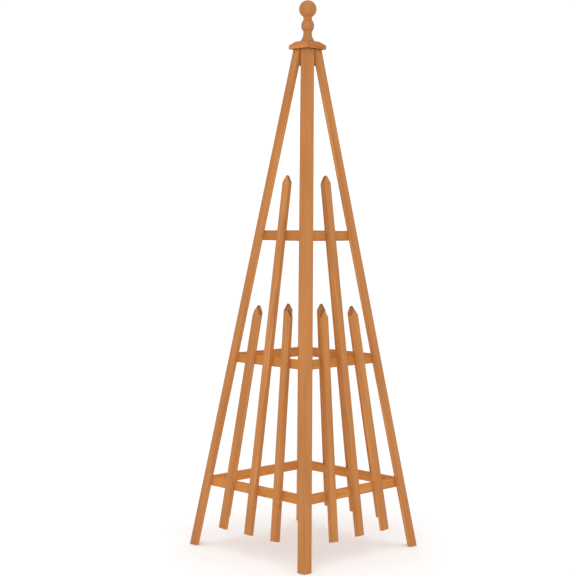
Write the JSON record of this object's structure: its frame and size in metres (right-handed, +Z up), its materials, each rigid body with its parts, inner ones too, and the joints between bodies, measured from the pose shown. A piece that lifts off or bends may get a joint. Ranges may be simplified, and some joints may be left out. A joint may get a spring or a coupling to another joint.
{
  "type": "garden obelisk",
  "caption": "Tall wooden obelisk trellis of leaning slatted panels under a bevelled cap with a turned ball finial, for a plant to climb.",
  "frame": {"origin": "on the ground, centred below the finial", "axes": "+Z up; the four panels face -Y (front), +X (right), +Y (back) and -X (left)"},
  "size_m": [0.537, 0.537, 1.8],
  "materials": {
    "stile_wood": "honey-brown stained softwood, matt",
    "picket_wood": "honey-brown stained softwood, matt",
    "rail_wood": "honey-brown stained softwood, matt",
    "cap_wood": "honey-brown stained softwood, matt",
    "finial_wood": "turned and sanded, honey-brown stain, satin",
    "block_wood": "sawn softwood, stained, matt",
    "nail_steel": "dulled galvanised steel",
    "screw_steel": "zinc-plated steel"
  },
  "bodies": {
    "root": {"back_left_corner_nails": "nail_steel", "back_panel_bottom_rail": "rail_wood", "back_panel_left_short_picket": "picket_wood", "back_panel_left_stile": "stile_wood", "back_panel_middle_rail": "rail_wood", "back_panel_nails": "nail_steel", "back_panel_right_short_picket": "picket_wood", "back_panel_right_stile": "stile_wood", "back_panel_tall_picket": "picket_wood", "back_panel_top_rail": "rail_wood", "back_right_corner_nails": "nail_steel", "cap_board": "cap_wood", "cap_screws": "screw_steel", "finial": "finial_wood", "finial_dowel_screw": "screw_steel", "front_left_corner_nails": "nail_steel", "front_panel_bottom_rail": "rail_wood", "front_panel_left_short_picket": "picket_wood", "front_panel_left_stile": "stile_wood", "front_panel_middle_rail": "rail_wood", "front_panel_nails": "nail_steel", "front_panel_right_short_picket": "picket_wood", "front_panel_right_stile": "stile_wood", "front_panel_tall_picket": "picket_wood", "front_panel_top_rail": "rail_wood", "front_right_corner_nails": "nail_steel", "head_block": "block_wood", "head_block_nails": "nail_steel", "left_panel_bottom_rail": "rail_wood", "left_panel_left_short_picket": "picket_wood", "left_panel_left_stile": "stile_wood", "left_panel_middle_rail": "rail_wood", "left_panel_nails": "nail_steel", "left_panel_right_short_picket": "picket_wood", "left_panel_right_stile": "stile_wood", "left_panel_tall_picket": "picket_wood", "left_panel_top_rail": "rail_wood", "right_panel_bottom_rail": "rail_wood", "right_panel_left_short_picket": "picket_wood", "right_panel_left_stile": "stile_wood", "right_panel_middle_rail": "rail_wood", "right_panel_nails": "nail_steel", "right_panel_right_short_picket": "picket_wood", "right_panel_right_stile": "stile_wood", "right_panel_tall_picket": "picket_wood", "right_panel_top_rail": "rail_wood"}
  },
  "joints": []
}
